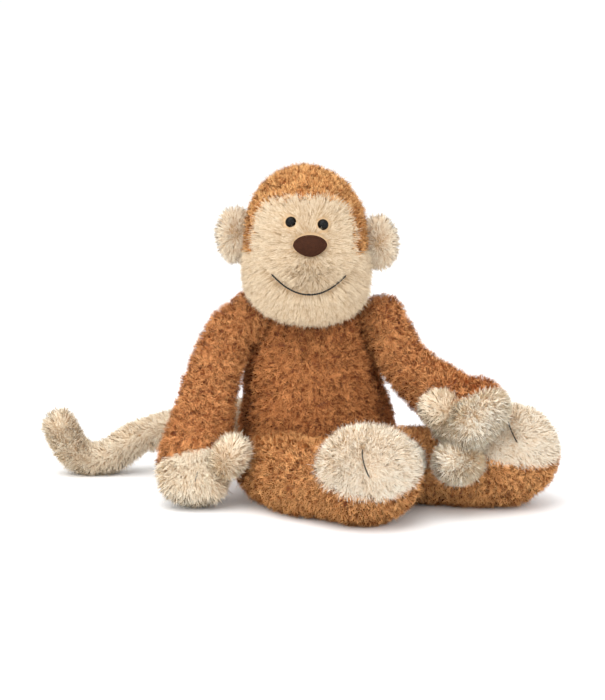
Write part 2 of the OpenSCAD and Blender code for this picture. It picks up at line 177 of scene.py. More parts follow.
def yarn_materials(name, root, tip, steps=7):
    """Shades of fibre from the darker root to the lighter tip."""
    made = []
    for k in range(steps):
        f = k / (steps - 1)
        shade = bpy.data.materials.new(f"{name} {k + 1}")
        shade.use_nodes = True
        shader = shade.node_tree.nodes["Principled BSDF"]
        colour = [a * (1 - f) + b * f for a, b in zip(root, tip)]
        shader.inputs["Base Color"].default_value = colour
        shader.inputs["Roughness"].default_value = 0.8
        shader.inputs["Specular IOR Level"].default_value = 0.12
        shade.diffuse_color = colour
        made.append(shade)
    return made


def roots_on(skins, per_mm2, draw):
    """Evenly scattered points and normals on the surface of the given pieces."""
    points, normals = [], []
    for skin in skins:
        mesh = skin.data
        mesh.calc_loop_triangles()
        co = np.empty(len(mesh.vertices) * 3, np.float32)
        mesh.vertices.foreach_get("co", co)
        co = co.reshape(-1, 3).astype(float)
        no = np.empty(len(mesh.vertices) * 3, np.float32)
        mesh.vertices.foreach_get("normal", no)
        no = no.reshape(-1, 3)
        tri = np.empty(len(mesh.loop_triangles) * 3, np.int32)
        mesh.loop_triangles.foreach_get("vertices", tri)
        tri = tri.reshape(-1, 3)
        a, b, c = co[tri[:, 0]], co[tri[:, 1]], co[tri[:, 2]]
        area = np.linalg.norm(np.cross(b - a, c - a), axis=1) / 2
        count = int(area.sum() * 1e6 * per_mm2)
        pick = np.searchsorted(np.cumsum(area), draw.uniform(0, area.sum(), count))
        pick = np.minimum(pick, len(area) - 1)
        u, v = np.sqrt(draw.uniform(size=count)), draw.uniform(size=count)
        w = np.stack([1 - u, u * (1 - v), u * v], 1)
        points.append((w[:, :, None] * co[tri[pick]]).sum(1))
        normals.append(unit((w[:, :, None] * no[tri[pick]]).sum(1)))
    return np.vstack(points), np.vstack(normals)


def grow(name, skins, shades, length, per_mm2=1.0, lean=None, mess=0.5, bunch=9.0, hold=0.28,
         curl=0.0, turns=1.0, crimp=0.0, width=0.00042, keep=None, trim=None, seed=1):
    """Pile on the given skins: thin ribbons in bunches, one bunch to every `bunch` mm2.
    lean(points, normals) gives the way the pile is brushed, keep(points) where it grows and
    trim(points) its share of the full length. A few stray strands stand out of their bunch."""
    floor_gap, stray_share, stray_length, stray_hold = 0.0004, 0.1, 1.3, 0.1
    draw = np.random.default_rng(seed)
    fine = 1.0
    root, normal = roots_on(skins, per_mm2 * fine, draw)
    if keep is not None:
        mask = keep(root)
        root, normal = root[mask], normal[mask]
    n = len(root)
    bunches = max(4, int(n / (per_mm2 * fine * bunch)))
    centre = draw.choice(n, bunches, replace=False)
    tree = kdtree.KDTree(bunches)
    for k, p in enumerate(root[centre]):
        tree.insert(p, k)
    tree.balance()
    mine = np.fromiter((tree.find(p)[1] for p in root), int, n)

    def ways(points, normals, loose):
        way = normals + loose * draw.normal(size=points.shape) * 0.6
        if lean is not None:
            way = way + lean(points, normals)
        way = unit(way)
        low = (way * normals).sum(1, keepdims=True)
        return unit(way + normals * np.maximum(0.12 - low, 0))

    own = ways(root, normal, mess * 0.6)
    shared = ways(root[centre], normal[centre], mess)
    size = length * draw.uniform(0.6, 1.35, n)
    shared_size = length * draw.uniform(0.8, 1.2, bunches)
    if trim is not None:
        size, shared_size = size * trim(root), shared_size * trim(root[centre])
    size = 0.5 * size + 0.5 * shared_size[mine] * draw.uniform(0.85, 1.1, n)
    stray = draw.uniform(0, 1, n) < stray_share
    size = np.where(stray, size * stray_length, size)
    across = unit(np.cross(shared, draw.normal(size=shared.shape)))
    other = np.cross(shared, across)
    spin, phase = draw.uniform(0.7, 1.3, bunches) * turns * 6.28, draw.uniform(0, 6.28, bunches)
    round_own = draw.uniform(0, 6.28, n)
    side_pick = unit(draw.normal(size=(n, 3)))
    steps = np.array([0, 0.36, 0.7, 1.0])
    spots = []
    for s in steps:
        alone = root + own * (size * s)[:, None]
        ring = curl * (across * (np.cos(phase + spin * s) - np.cos(phase))[:, None]
                       + other * (np.sin(phase + spin * s) - np.sin(phase))[:, None])
        together = root[centre] + shared * (shared_size * s)[:, None] + ring
        w = np.where(stray, stray_hold, hold)[:, None] * s
        spot = alone * (1 - w) + (together[mine]) * w
        if curl:
            spot = spot + ring[mine] * (1 - w)
        if crimp:
            bend = np.sin(round_own + 9 * s)[:, None] * unit(side_pick)
            spot = spot + crimp * s * bend
        spots.append(spot)
    spots = np.stack(spots, 1)
    spots[:, :, 2] = np.maximum(spots[:, :, 2], floor_gap)
    run = unit(np.diff(spots, axis=1))
    run = np.concatenate([run, run[:, -1:]], 1)
    flat = np.cross(run[:, :1] * 0.5 + run * 0.5, normal[:, None, :])
    side = unit(flat + 0.3 * np.cross(run, side_pick[:, None, :]))
    facing = (np.cross(run, side) * normal[:, None, :]).sum(2, keepdims=True)
    side = np.where(facing[:, :1] < 0, side, -side)
    k = len(steps)
    taper = np.array([0.9, 1, 0.8, 0])
    half = (width / 2 * draw.uniform(0.8, 1.2, n))[:, None, None] * taper[None, :, None]
    left, right = spots - side * half, spots + side * half
    verts = np.empty((n, 2 * k - 1, 3))
    verts[:, 0:2 * k - 2:2] = left[:, :-1]
    verts[:, 1:2 * k - 2:2] = right[:, :-1]
    verts[:, -1] = spots[:, -1]
    corner, starts = [], []
    for j in range(k - 2):
        starts.append(len(corner))
        corner += [2 * j, 2 * j + 1, 2 * j + 3, 2 * j + 2]
    starts.append(len(corner))
    corner += [2 * k - 4, 2 * k - 3, 2 * k - 2]
    corner, starts = np.array(corner), np.array(starts)
    loops = (np.arange(n)[:, None] * (2 * k - 1) + corner[None]).ravel()
    firsts = (np.arange(n)[:, None] * len(corner) + starts[None]).ravel()
    height = np.linspace(0.15, 0.95, k - 1)
    tone = draw.uniform(0, 1, bunches)[mine] * 0.35 + draw.uniform(0, 1, n) * 0.25
    level = tone[:, None] + height[None] * 0.55 - 0.08
    pick = np.clip((level * len(shades)).astype(int), 0, len(shades) - 1)
    mesh = bpy.data.meshes.new(name)
    mesh.vertices.add(n * (2 * k - 1))
    mesh.vertices.foreach_set("co", verts.astype(np.float32).ravel())
    mesh.loops.add(len(loops))
    mesh.loops.foreach_set("vertex_index", loops.astype(np.int32))
    mesh.polygons.add(len(firsts))
    mesh.polygons.foreach_set("loop_start", firsts.astype(np.int32))
    for shade in shades:
        mesh.materials.append(shade)
    mesh.polygons.foreach_set("material_index", pick.astype(np.int32).ravel())
    mesh.update(calc_edges=True)
    mesh.shade_smooth()
    own_way = np.cross(run, side)
    own_way = np.where((own_way * normal[:, None, :]).sum(2, keepdims=True) < 0, -own_way, own_way)
    soft = unit(normal[:, None, :] + 0.6 * own_way)
    corner_normal = np.empty((n, 2 * k - 1, 3))
    corner_normal[:, 0:2 * k - 2:2] = soft[:, :-1]
    corner_normal[:, 1:2 * k - 2:2] = soft[:, :-1]
    corner_normal[:, -1] = soft[:, -1]
    mesh.normals_split_custom_set_from_vertices(corner_normal.reshape(-1, 3).tolist())
    piece = bpy.data.objects.new(name, mesh)
    bpy.context.scene.collection.objects.link(piece)
    return piece


def fold_spot(joint):
    """Where a joint's fold is, from the frame's own record."""
    found = [j for j in frame["record"]["behaviour"]["joints"] if j["name"] == joint]
    return np.array(found[0]["pos_m"])


brown_backing = backing_material("brown backing", linear(140, 76, 36), linear(96, 48, 24))
brown_yarn = yarn_materials("brown fibre", linear(168, 92, 42), linear(255, 194, 128))
arm_yarn = yarn_materials("arm fibre", linear(160, 84, 38), linear(243, 176, 114))
# The torso's shades are a darker copy of the brown pile of the arms and legs: painted shade.
body_yarn_painted_shade = yarn_materials("body fibre painted shade", linear(141, 71, 32), linear(234, 162, 101))
brown_curl = dict(bunch=5, hold=0.42, curl=0.0011, turns=0.8, crimp=0.0009, width=0.00029)

low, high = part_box("torso_skin")
torso_mid_y = 0.007
torso_half = (high.x - low.x) / 2
# height, half width, front, back and middle: the first two as shares of the skin's size
torso_cut = np.array([[0.0, 0.5, -0.022, 0.036, 0], [0.01, 0.77, -0.026, 0.042, 0],
                      [0.045, 0.9, -0.031, 0.047, 0], [0.12, 0.965, -0.036, 0.0505, 0],
                      [0.233, 1.0, -0.037, 0.051, 0], [0.384, 0.955, -0.037, 0.05, -0.001],
                      [0.534, 0.875, -0.034, 0.046, -0.003], [0.671, 0.82, -0.029, 0.041, -0.0045],
                      [0.795, 0.73, -0.023, 0.037, -0.005], [0.89, 0.64, -0.018, 0.034, -0.004],
                      [0.966, 0.54, -0.008, 0.028, -0.003], [1.0, 0.32, -0.003, 0.021, -0.001]])
torso_rows = through(torso_cut, np.linspace(0, len(torso_cut) - 1, 46))
turn = np.linspace(0, 2 * math.pi, 56, endpoint=False)
torso_rings = []
for height, wide, front, back, middle in torso_rows:
    torso_rings.append(np.stack([
        middle + torso_half * wide * np.cos(turn),
        (front + back) / 2 + (back - front) / 2 * np.sin(turn),
        np.full(56, low.z + (high.z - low.z) * height)], 1))
torso = cloth("torso_cloth", torso_rings, (0, torso_mid_y, low.z), (0, 0.009, high.z),
              lump=0.0007, seed=3)
torso.data.materials.append(brown_backing)
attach(torso, "torso")
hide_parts("torso_skin", "torso_stuffing", "seat_pellets")
torso_seams = (unit([0.93, -0.37]), unit([-0.93, -0.37]))


def seam_trim(p):
    """The pile lies flat and short along the two side seams and under the head."""
    share = np.ones(len(p))
    for seam in torso_seams:
        off = np.abs(p[:, 0] * seam[1] - (p[:, 1] - torso_mid_y) * seam[0])
        near = (p[:, 0] * seam[0] > 0) & (off < 0.0035)
        share = np.where(near, 0.35 + 0.65 * off / 0.0035, share)
    return np.where(p[:, 2] > 0.142, 0.5 * share, share)


for part, first_x, last_x in (("right", -1, -0.019), ("middle", -0.019, 0.015), ("left", 0.015, 1)):
    torso_fur = grow("torso_fur_" + part, [torso], body_yarn_painted_shade, 0.0062, per_mm2=2.3, mess=1.0, seed=11,
                     trim=seam_trim, lean=lambda p, n: np.array([0, 0, -0.35]),
                     keep=lambda p: (p[:, 0] >= first_x) & (p[:, 0] < last_x), **brown_curl)
    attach(torso_fur, "torso")

# ---- Head ----
# An egg of two fabrics: a brown curly cap over the crown, sides and back, and a cream
# face of longer straight pile, seamed together round the brow and under the jaw.

cream_backing = backing_material("cream backing", linear(218, 186, 146), linear(196, 162, 120), 260)
cream_yarn = yarn_materials("cream fibre", linear(190, 160, 123), linear(226, 208, 180))
shag_yarn = yarn_materials("shaggy fibre", linear(236, 206, 168), linear(255, 246, 226))
# A lighter copy of the shaggy cream of the right hand and thumbs, for the left hand and the big toes:
# painted light.
shag_yarn_painted_light = yarn_materials("shaggy fibre painted light", linear(248, 222, 186), linear(255, 252, 240))
# A darker copy of the same shaggy cream, for the ears: painted shade.
ear_yarn_painted_shade = yarn_materials("shaggy fibre painted shade", linear(216, 187, 152), linear(236, 225, 204))
cap_yarn = yarn_materials("cap fibre", linear(196, 112, 52), linear(248, 196, 130))
shag = dict(per_mm2=3.2, bunch=4, hold=0.28, width=0.00034, crimp=0.0005)

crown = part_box("head_cap")[1].z
# height, half width, front, back and middle, in metres
head_cut = np.array([[0.140, 0.010, -0.041, -0.032, -0.004], [0.1428, 0.022, -0.048, -0.022, -0.005],
                     [0.1478, 0.0325, -0.0535, -0.006, -0.006], [0.155, 0.0405, -0.0565, 0.014, -0.007],
                     [0.1635, 0.0426, -0.0575, 0.028, -0.0083], [0.173, 0.0430, -0.0555, 0.035, -0.0085],
                     [0.185, 0.0424, -0.052, 0.039, -0.0089], [0.197, 0.0412, -0.0498, 0.041, -0.0093],
                     [0.209, 0.0396, -0.0475, 0.0405, -0.0096], [0.221, 0.0358, -0.0425, 0.0365, -0.0097],
                     [0.232, 0.0288, -0.0345, 0.0295, -0.0097], [0.240, 0.0195, -0.024, 0.0205, -0.010],
                     [0.2447, 0.0105, -0.0135, 0.010, -0.010], [0.2465, 0.004, -0.007, 0.003, -0.010]])
head_cut[:, 0] += np.clip((head_cut[:, 0] - 0.2) / 0.047, 0, 1) * (crown - 0.2465)
head_rows = through(head_cut, np.linspace(0, len(head_cut) - 1, 54))
turn = np.linspace(0, 2 * math.pi, 64, endpoint=False)
head_rings = [np.stack([mid + wide * np.cos(turn), (front + back) / 2 + (back - front) / 2
                        * np.sin(turn), np.full(64, z)], 1)
              for z, wide, front, back, mid in head_rows]


def face_front(x, z):
    """How far forward the face is at x and z."""
    wide, front, back, mid = [np.interp(z, head_rows[:, 0], head_rows[:, k]) for k in (1, 2, 3, 4)]
    off = np.clip(np.abs(x - mid) / wide, 0, 0.985)
    return (front + back) / 2 - (back - front) / 2 * np.sqrt(1 - off ** 2)


def on_face(p):
    """Which points lie on the cream side of the seam."""
    x, y, z = (p[:, 0] + 0.0105) / 0.034, p[:, 1], (p[:, 2] - 0.168) / 0.059
    brow = (x ** 4 + z ** 4 < 1) & (y < -0.007)
    return brow | ((p[:, 2] < 0.188) & (y < 0.007))


head = cloth("head_cloth", head_rings, (-0.004, -0.037, 0.1395), (-0.010, -0.002, crown),
             lump=0.0006, seed=5)
head.data.materials.append(brown_backing)
head.data.materials.append(cream_backing)
centres = np.array([p.center[:] for p in head.data.polygons])
head.data.polygons.foreach_set("material_index", on_face(centres).astype(np.int32))
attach(head, "head")
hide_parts("head_cap", "face_panel", "head_stuffing", "neck_stuffing")

nose_at = np.array([-0.006, 0, 0.198])
mouth_mid, mouth_half, mouth_lift = np.array([-0.0070, 0.163]), 0.0275, 0.0125
eye_spots = {}
for side in ("right", "left"):
    low_eye, high_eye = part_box("eye_" + side)
    width = high_eye.x - low_eye.x
    eye_spots[side] = np.array([(low_eye.x + high_eye.x) / 2, low_eye.y + width / 2,
                                (low_eye.z + high_eye.z) / 2])


def mouth_height(x):
    """The smile's height at x."""
    k = (x - mouth_mid[0]) / mouth_half
    return mouth_mid[1] + mouth_lift * k * k - 0.0006 * k


def brushed_from_nose(p, n):
    """The face is brushed outwards from the nose, and down over the chin."""
    away = p - nose_at
    away[:, 1] = 0
    way = unit(away) * np.array([1.25, 1, 1.0])
    way[:, 2] -= 0.25 * (p[:, 2] < mouth_height(p[:, 0]))
    flat = way - (way * n).sum(1, keepdims=True) * n
    lip = np.hypot((p[:, 0] - nose_at[0]) / 0.026, (p[:, 2] - 0.180) / 0.014)
    return flat * (1.15 - 0.6 * np.clip(1.6 - 1.6 * lip, 0, 1))[:, None]


def face_trim(p):
    """Short round the eyes, under the nose pad and above the smile."""
    share = np.ones(len(p))
    front = p[:, 1] < -0.03
    for spot in eye_spots.values():
        off = np.hypot(p[:, 0] - spot[0], p[:, 2] - spot[2])
        clear = 0.42 + 0.58 * (off - 0.004) / 0.007
        share = np.where(front & (off < 0.011), np.minimum(share, clear), share)
    off = np.hypot((p[:, 0] - nose_at[0]) / 0.0125, (p[:, 2] - nose_at[2]) / 0.0082)
    share = np.where(front & (off < 1.7), np.minimum(share, 0.5 + 0.5 * (off - 1) / 0.7), share)
    above = p[:, 2] - mouth_height(p[:, 0])
    inside = np.abs(p[:, 0] - mouth_mid[0]) < mouth_half + 0.002
    near = front & inside & (above > 0) & (above < 0.008)
    share = np.where(near, np.minimum(share, 0.2 + 0.8 * above / 0.008), share)
    share = np.where(p[:, 2] < 0.16, share * 0.8, share)
    return np.clip(share, 0.15, 1)


def face_keep(p):
    """Not under an eye, the nose pad or the smile's thread."""
    keep = on_face(p)
    front = p[:, 1] < -0.03
    for spot in eye_spots.values():
        to_nose = 0.0012 * unit(np.array([nose_at[0] - spot[0], nose_at[2] - spot[2]]))
        off = np.hypot(p[:, 0] - spot[0] - to_nose[0], p[:, 2] - spot[2] - to_nose[1])
        keep &= ~(front & (off < 0.0055))
    off = np.hypot((p[:, 0] - nose_at[0]) / 0.0122, (p[:, 2] - nose_at[2]) / 0.008)
    keep &= ~(front & (off < 1))
    inside = np.abs(p[:, 0] - mouth_mid[0]) < mouth_half
    keep &= ~(front & inside & (np.abs(p[:, 2] - mouth_height(p[:, 0])) < 0.0006))
    return keep


face_fur = grow("face_fur", [head], cream_yarn, 0.0080, per_mm2=2.9, lean=brushed_from_nose,
                mess=0.75, bunch=3.5, hold=0.38, width=0.00032, keep=face_keep, trim=face_trim,
                seed=21, crimp=0.0003)
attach(face_fur, "head")
cap_fur = grow("cap_fur", [head], cap_yarn, 0.0066, per_mm2=2.4, mess=0.95, seed=22,
               keep=lambda p: ~on_face(p), lean=lambda p, n: np.array([0, 0, 0.1]), **brown_curl)
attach(cap_fur, "head")

# ---- Eyes ----
# Round black plastic beads, polished, each on a moulded post that goes through the face
# fabric and is locked behind it by a washer. The pile is kept short round them.

bead = bpy.data.materials.new("black bead")
bead.use_nodes = True
bead_shader = bead.node_tree.nodes["Principled BSDF"]
bead_shader.inputs["Base Color"].default_value = linear(10, 8, 8)
bead_shader.inputs["Roughness"].default_value = 0.07
bead_shader.inputs["Specular IOR Level"].default_value = 0.16
for side, spot in eye_spots.items():
    low_eye, high_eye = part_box("eye_" + side)
    radius = (high_eye.x - low_eye.x) / 2
    lift = np.linspace(-80, 80, 17) * math.pi / 180
    turn = np.linspace(0, 2 * math.pi, 28, endpoint=False)
    rings = [spot + radius * np.stack([math.cos(a) * np.cos(turn), np.full(28, -math.sin(a) * 0.92),
                                       math.cos(a) * np.sin(turn)], 1) for a in lift]
    eye = cloth("eye_bead_" + side, rings[::-1], spot - [0, radius * 0.92, 0], spot + [0, radius * 0.92, 0])
    eye.data.materials.append(bead)
    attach(eye, "head")
    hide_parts("eye_" + side, "eye_washer_" + side)

# ---- Nose ----
# A low oval pad of brushed dark brown velour, its edge turned in and stitched down to the
# face fabric all round.

velour = bpy.data.materials.new("brushed velour")
velour.use_nodes = True
tree = velour.node_tree
velour_shader = tree.nodes["Principled BSDF"]
velour_shader.inputs["Specular IOR Level"].default_value = 0.1
use = tree.nodes.new("ShaderNodeGroup")
use.node_tree = woven
use.inputs["Light"].default_value = linear(68, 39, 25)
use.inputs["Dark"].default_value = linear(44, 24, 15)
use.inputs["Patch size"].default_value = 420
use.inputs["Weave"].default_value = 0.6
tree.links.new(use.outputs["Colour"], velour_shader.inputs["Base Color"])
tree.links.new(use.outputs["Roughness"], velour_shader.inputs["Roughness"])
tree.links.new(use.outputs["Normal"], velour_shader.inputs["Normal"])
nose_rings = []
turn = np.linspace(0, 2 * math.pi, 48, endpoint=False)
# share of the outline's size, and how far the surface stands forward
for share, rise in ((0.93, -0.004), (0.99, 0.0), (1.0, 0.0022), (0.975, 0.0036), (0.93, 0.0043),
                    (0.87, 0.0041), (0.78, 0.0047), (0.6, 0.0058), (0.38, 0.0067), (0.18, 0.0071)):
    across, up = np.cos(turn), np.sin(turn)
    tall = np.where(up > 0, 0.0072, 0.0082)
    narrow = np.where(up < 0, 1 - 0.22 * np.abs(up) ** 1.5, 1 - 0.04 * np.abs(up))
    x = nose_at[0] + 0.0126 * share * across * narrow
    z = nose_at[2] + tall * share * up
    y = face_front(x, z) * 0.65 + face_front(nose_at[0], nose_at[2]) * 0.35 - rise - 0.0012
    nose_rings.append(np.stack([x, y, z], 1))
tip = (nose_at[0], face_front(nose_at[0], nose_at[2]) - 0.0085, nose_at[2])
nose = cloth("nose_pad", nose_rings, None, tip, lump=0.00015, seed=7)
nose.data.materials.append(velour)
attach(nose, "head")
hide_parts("nose")

# ---- Smile ----
# One run of dark twisted thread, sewn through the face fabric and pulled down into the
# pile, with a small join in the middle.

thread = bpy.data.materials.new("dark thread")
thread.use_nodes = True
tree = thread.node_tree
thread_shader = tree.nodes["Principled BSDF"]
use = tree.nodes.new("ShaderNodeGroup")
use.node_tree = woven
use.inputs["Light"].default_value = linear(34, 34, 30)
use.inputs["Dark"].default_value = linear(12, 12, 11)
use.inputs["Patch size"].default_value = 1500
tree.links.new(use.outputs["Colour"], thread_shader.inputs["Base Color"])
tree.links.new(use.outputs["Roughness"], thread_shader.inputs["Roughness"])
tree.links.new(use.outputs["Normal"], thread_shader.inputs["Normal"])


def twisted_thread(name, route, radius, out=(0, -1, 0)):
    """Two plies of thread twisted round each other along a route, ends tapered."""
    route = np.asarray(route, float)
    path = through(route, np.linspace(0, len(route) - 1, 10 * len(route)))
    n = len(path)
    run = unit(np.gradient(path, axis=0))
    side = unit(np.cross(run, np.array(out, float)))
    top = np.cross(side, run)
    gone = np.concatenate([[0], np.cumsum(np.linalg.norm(np.diff(path, axis=0), axis=1))])
    points, faces = [], []
    for ply in (0, math.pi):
        angle = gone / (radius * 5) * 2 * math.pi + ply
        middle = path + radius * 0.45 * (np.cos(angle)[:, None] * side + np.sin(angle)[:, None] * top)
        small = radius * 0.62 * np.minimum(1, np.minimum(np.arange(n), np.arange(n)[::-1]) / 3 + 0.15)
        base = sum(len(q) for q in points)
        for a in range(6):
            c, s = math.cos(a * math.pi / 3), math.sin(a * math.pi / 3)
            points.append(middle + small[:, None] * (c * side + s * top))
        for a in range(6):
            b = (a + 1) % 6
            for j in range(n - 1):
                low, next_low = base + a * n + j, base + b * n + j
                faces.append((low, next_low, next_low + 1, low + 1))
        faces.append(tuple(base + a * n for a in range(5, -1, -1)))
        faces.append(tuple(base + a * n + n - 1 for a in range(6)))
    mesh = bpy.data.meshes.new(name)
    mesh.from_pydata(np.vstack(points).tolist(), [], faces)
    mesh.shade_smooth()
    mesh.materials.append(thread)
    piece = bpy.data.objects.new(name, mesh)
    bpy.context.scene.collection.objects.link(piece)
    return piece


route = []
for k in np.linspace(-1, 1, 21):
    x = mouth_mid[0] + mouth_half * k
    z = mouth_height(x)
    route.append([x, face_front(x, z) - 0.0048, z])
smile = twisted_thread("smile_thread", route, 0.0007)
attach(smile, "head")
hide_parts("mouth_stitch")
knot_at = np.array([mouth_mid[0], face_front(*mouth_mid) - 0.0056, mouth_mid[1]])
knot = twisted_thread("smile_join", knot_at + np.array([[-0.0016, 0, 0.0003], [0, -0.0005, 0.0009],
                                                        [0.0018, 0, 0.0002]]), 0.0004)
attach(knot, "head")

# ---- Ears ----
# Flat half rounds of shaggy cream pile, two layers thick and unfilled, each sewn by its
# straight edge into a side seam of the head.

for side, way in (("right", -1), ("left", 1)):
    low_ear, high_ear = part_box("ear_" + side)
    root_x = (high_ear.x - 0.0045) if way < 0 else (low_ear.x + 0.0045)
    middle = np.array([root_x, (low_ear.y + high_ear.y) / 2, (low_ear.z + high_ear.z) / 2])
    rings = []
    turn = np.linspace(0, 2 * math.pi, 36, endpoint=False)
    # how far out, half height and half thickness
    ear_cut = through([[-0.004, 0.0115, 0.002], [0.0, 0.0152, 0.0042], [0.004, 0.017, 0.0048],
                       [0.008, 0.0165, 0.0049], [0.0108, 0.0135, 0.0045], [0.0130, 0.0085, 0.0036],
                       [0.0142, 0.0035, 0.002]], np.linspace(0, 6, 16))
    for out, tall, thick in ear_cut:
        rings.append(middle + np.stack([np.full(36, way * out), -way * thick * np.sin(turn),
                                        tall * np.cos(turn)], 1))
    ear = cloth("ear_cloth_" + side, rings, middle + [way * -0.005, 0, 0], middle + [way * 0.0146, 0, 0],
                lump=0.0004, seed=9)
    ear.data.materials.append(cream_backing)
    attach(ear, "ear_" + side)
    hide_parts("ear_" + side)

    def outwards(p, n, middle=middle, way=way):
        """The ear's pile is brushed out towards its rim."""
        rim = unit(p - middle + [way * -0.004, 0, 0])
        rim[:, 1] = 0
        return rim * 0.8

    # The ears take the darker copy of the shaggy cream: painted shade.
    ear_fur = grow("ear_fur_" + side, [ear], ear_yarn_painted_shade, 0.0066, lean=outwards, mess=0.75,
                   seed=31 + way, **shag)
    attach(ear_fur, "ear_" + side)

# ---- Arms ----
# Each arm is one long tube of brown pile that widens to the wrist, where a cream mitten
# hand is sewn on. The fibre is loose at the elbow and wrist.


def tube(points, sizes, spread, ahead, u):
    """Rings of a soft limb round the curve through points, at u counted in points."""
    sides = 30
    u = np.asarray(u, float)
    middle = through(points, u)
    run = unit(through(points, u + 0.02) - through(points, u - 0.02))
    up = unit(ahead - (run @ ahead)[:, None] * run)
    over = np.cross(run, up)
    size = np.interp(u, *zip(*sizes))
    wide = size * np.interp(u, *zip(*spread))
    turn = np.linspace(0, 2 * math.pi, sides, endpoint=False)
    rings = (middle[:, None] + size[:, None, None] * np.cos(turn)[None, :, None] * up[:, None]
             + wide[:, None, None] * np.sin(turn)[None, :, None] * over[:, None])
    return rings, run, size


def round_end(ring, run, size, reach=0.9):
    """Rings that close the end of a limb as a soft dome, and its last point."""
    middle = ring.mean(0)
    rings = [middle + (ring - middle) * math.cos(a) + run * size * reach * math.sin(a)
             for a in np.radians([14, 28, 42, 56, 70, 82])]
    return rings, middle + run * size * reach


def soft_limb(name, points, sizes, spread, ahead, start, stop, open_end, seed=0):
    """One length of a limb, domed at a free end and at a root inside the torso."""
    u = np.linspace(start, stop, max(6, int((stop - start) * 9) + 1))
    rings, run, size = tube(points, sizes, spread, ahead, u)
    rings = list(rings)
    first = final = None
    if start == 0:
        dome, first = round_end(rings[0], -run[0], size[0])
        rings = dome[::-1] + rings
    if not open_end:
        dome, final = round_end(rings[-1], run[-1], size[-1])
        rings = rings + dome
    return cloth(name, rings, first, final, lump=0.0006, seed=seed)


def half_way(a, b):
    return (np.asarray(a) + np.asarray(b)) / 2


fold_reach = 0.5
hand_tip = {"right": np.array([-0.002, -0.015, -0.023]), "left": np.array([0.014, -0.025, 0.0])}
arm_bow = {"right": np.array([-0.01825, -0.007, -0.0125]), "left": np.array([0.01575, -0.01425, -0.0295])}
palm_way = {"right": np.array([0, -1.0, 0]), "left": unit([-0.4, -0.5, 0.75])}
thumb_offset = {"right": np.array([0.025, -0.022, -0.003]), "left": np.array([-0.0125, -0.0215, 0.004])}
thumb_way = {"right": unit([0.62, 0, 0.78]), "left": unit([-0.9, -0.25, 0.35])}
shoulder_size = {"right": 0.0162, "left": 0.0140}
arm_size = [(1, 0.0150), (2, 0.0162), (3, 0.018), (3.8, 0.0208), (4, 0.0207), (4.5, 0.019),
            (5, 0.0172), (6, 0.0142)]
cuff_seam = {"right": 0.0075, "left": 0.0055}
cuff_tilt = {"right": np.array([0.3, 0, 0]), "left": np.array([0, 0, -1.2])}
arm_spread = [(0, 1), (4, 1.02), (4.6, 1.3), (5, 1.45), (6, 1.55)]
arm_pose = {}


def down_the_limb(points, share, loose=0.0):
    """The pile is brushed down the limb, towards its free end."""
    at = through(points, np.linspace(0, len(points) - 1, 40))
    ways = unit(np.gradient(at, axis=0))

    def lean(p, n):
        near = np.argmin(((p[:, None] - at[None]) ** 2).sum(2), axis=1)
        return ways[near] * share + np.array([0, 0, -loose])
    return lean


for side in ("right", "left"):
    shoulder, elbow, wrist = (fold_spot(j + side) for j in ("shoulder_", "elbow_", "wrist_"))
    tip = wrist + hand_tip[side]
    points = np.array([shoulder, shoulder + arm_bow[side], elbow, half_way(elbow, wrist), wrist,
                       half_way(wrist, tip), tip])
    ahead = np.array([0, -1.0, 0])
    lengths = (("upper_arm", 0, 2 - fold_reach, "torso"), ("forearm", 2 - fold_reach, 4 - 0.3, "upper_arm"),
               ("hand", 4 - 0.3, 6, "forearm"))
    for part, start, stop, above in lengths:
        is_hand = part == "hand"

        def on_hand(p, w=wrist, d=unit(unit(tip - wrist) + cuff_tilt[side]), s=cuff_seam[side]):
            """Which points lie on the cream side of the wrist's seam."""
            return (p - w) @ d > s

        way = palm_way[side] if is_hand else ahead
        skin = soft_limb(f"{part}_cloth_{side}", points, [(0, shoulder_size[side])] + arm_size,
                         arm_spread, way, start, stop, not is_hand, seed=13)
        skin.data.materials.append(cream_backing if is_hand else brown_backing)
        lean = down_the_limb(points, 0.45 if is_hand else 0.2, 0.15)
        if is_hand:
            skin.data.materials.append(brown_backing)
            centres = np.array([p.center[:] for p in skin.data.polygons])
            skin.data.polygons.foreach_set("material_index", (~on_hand(centres)).astype(np.int32))
            cuff = grow("cuff_fur_" + side, [skin], arm_yarn, 0.0062, per_mm2=2.4, lean=lean,
                        mess=0.95, seed=43, keep=lambda p: ~on_hand(p), **brown_curl)
            # The left hand's pile takes the lighter copy of the shaggy cream: painted light.
            yarn = shag_yarn_painted_light if side == "left" else shag_yarn
            fur = grow(f"{part}_fur_{side}", [skin], yarn, 0.0072, lean=lean, mess=0.85, seed=41,
                       keep=on_hand, **shag)
        else:
            fur = grow(f"{part}_fur_{side}", [skin], arm_yarn, 0.0062, per_mm2=2.4, lean=lean,
                       mess=0.95, seed=42, **brown_curl)
        body = f"{part}_{side}"
        if part == "upper_arm":
            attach(skin, body)
            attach(fur, body)
        else:
            middle = 2 if part == "forearm" else 4
            for piece in (skin, fur) + ((cuff,) if is_hand else ()):
                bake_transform(piece)
        filling = "hand_pellets_" if is_hand else part + "_stuffing_"
        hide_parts(f"{part}_skin_{side}", filling + side)
    arm_pose[side] = points

# ---- Thumbs ----
# A round lobe of the same shaggy cream pile as the hand, sewn to the inner edge of each
# hand and riding with it.


def lobe(name, middle, way, half_length, half_width, seed):
    """A soft egg of cloth with its long axis along way."""
    side_way = unit(np.cross(way, [0, 0.2, 1.0]))
    up_way = np.cross(way, side_way)
    turn = np.linspace(0, 2 * math.pi, 26, endpoint=False)
    rings = [middle + way * half_length * math.sin(a) + half_width * math.cos(a)
             * (np.cos(turn)[:, None] * side_way + np.sin(turn)[:, None] * up_way)
             for a in np.radians(np.linspace(-75, 75, 13))]
    piece = cloth(name, rings, middle - way * half_length, middle + way * half_length, lump=0.0005,
                  seed=seed)
    piece.data.materials.append(cream_backing)
    return piece


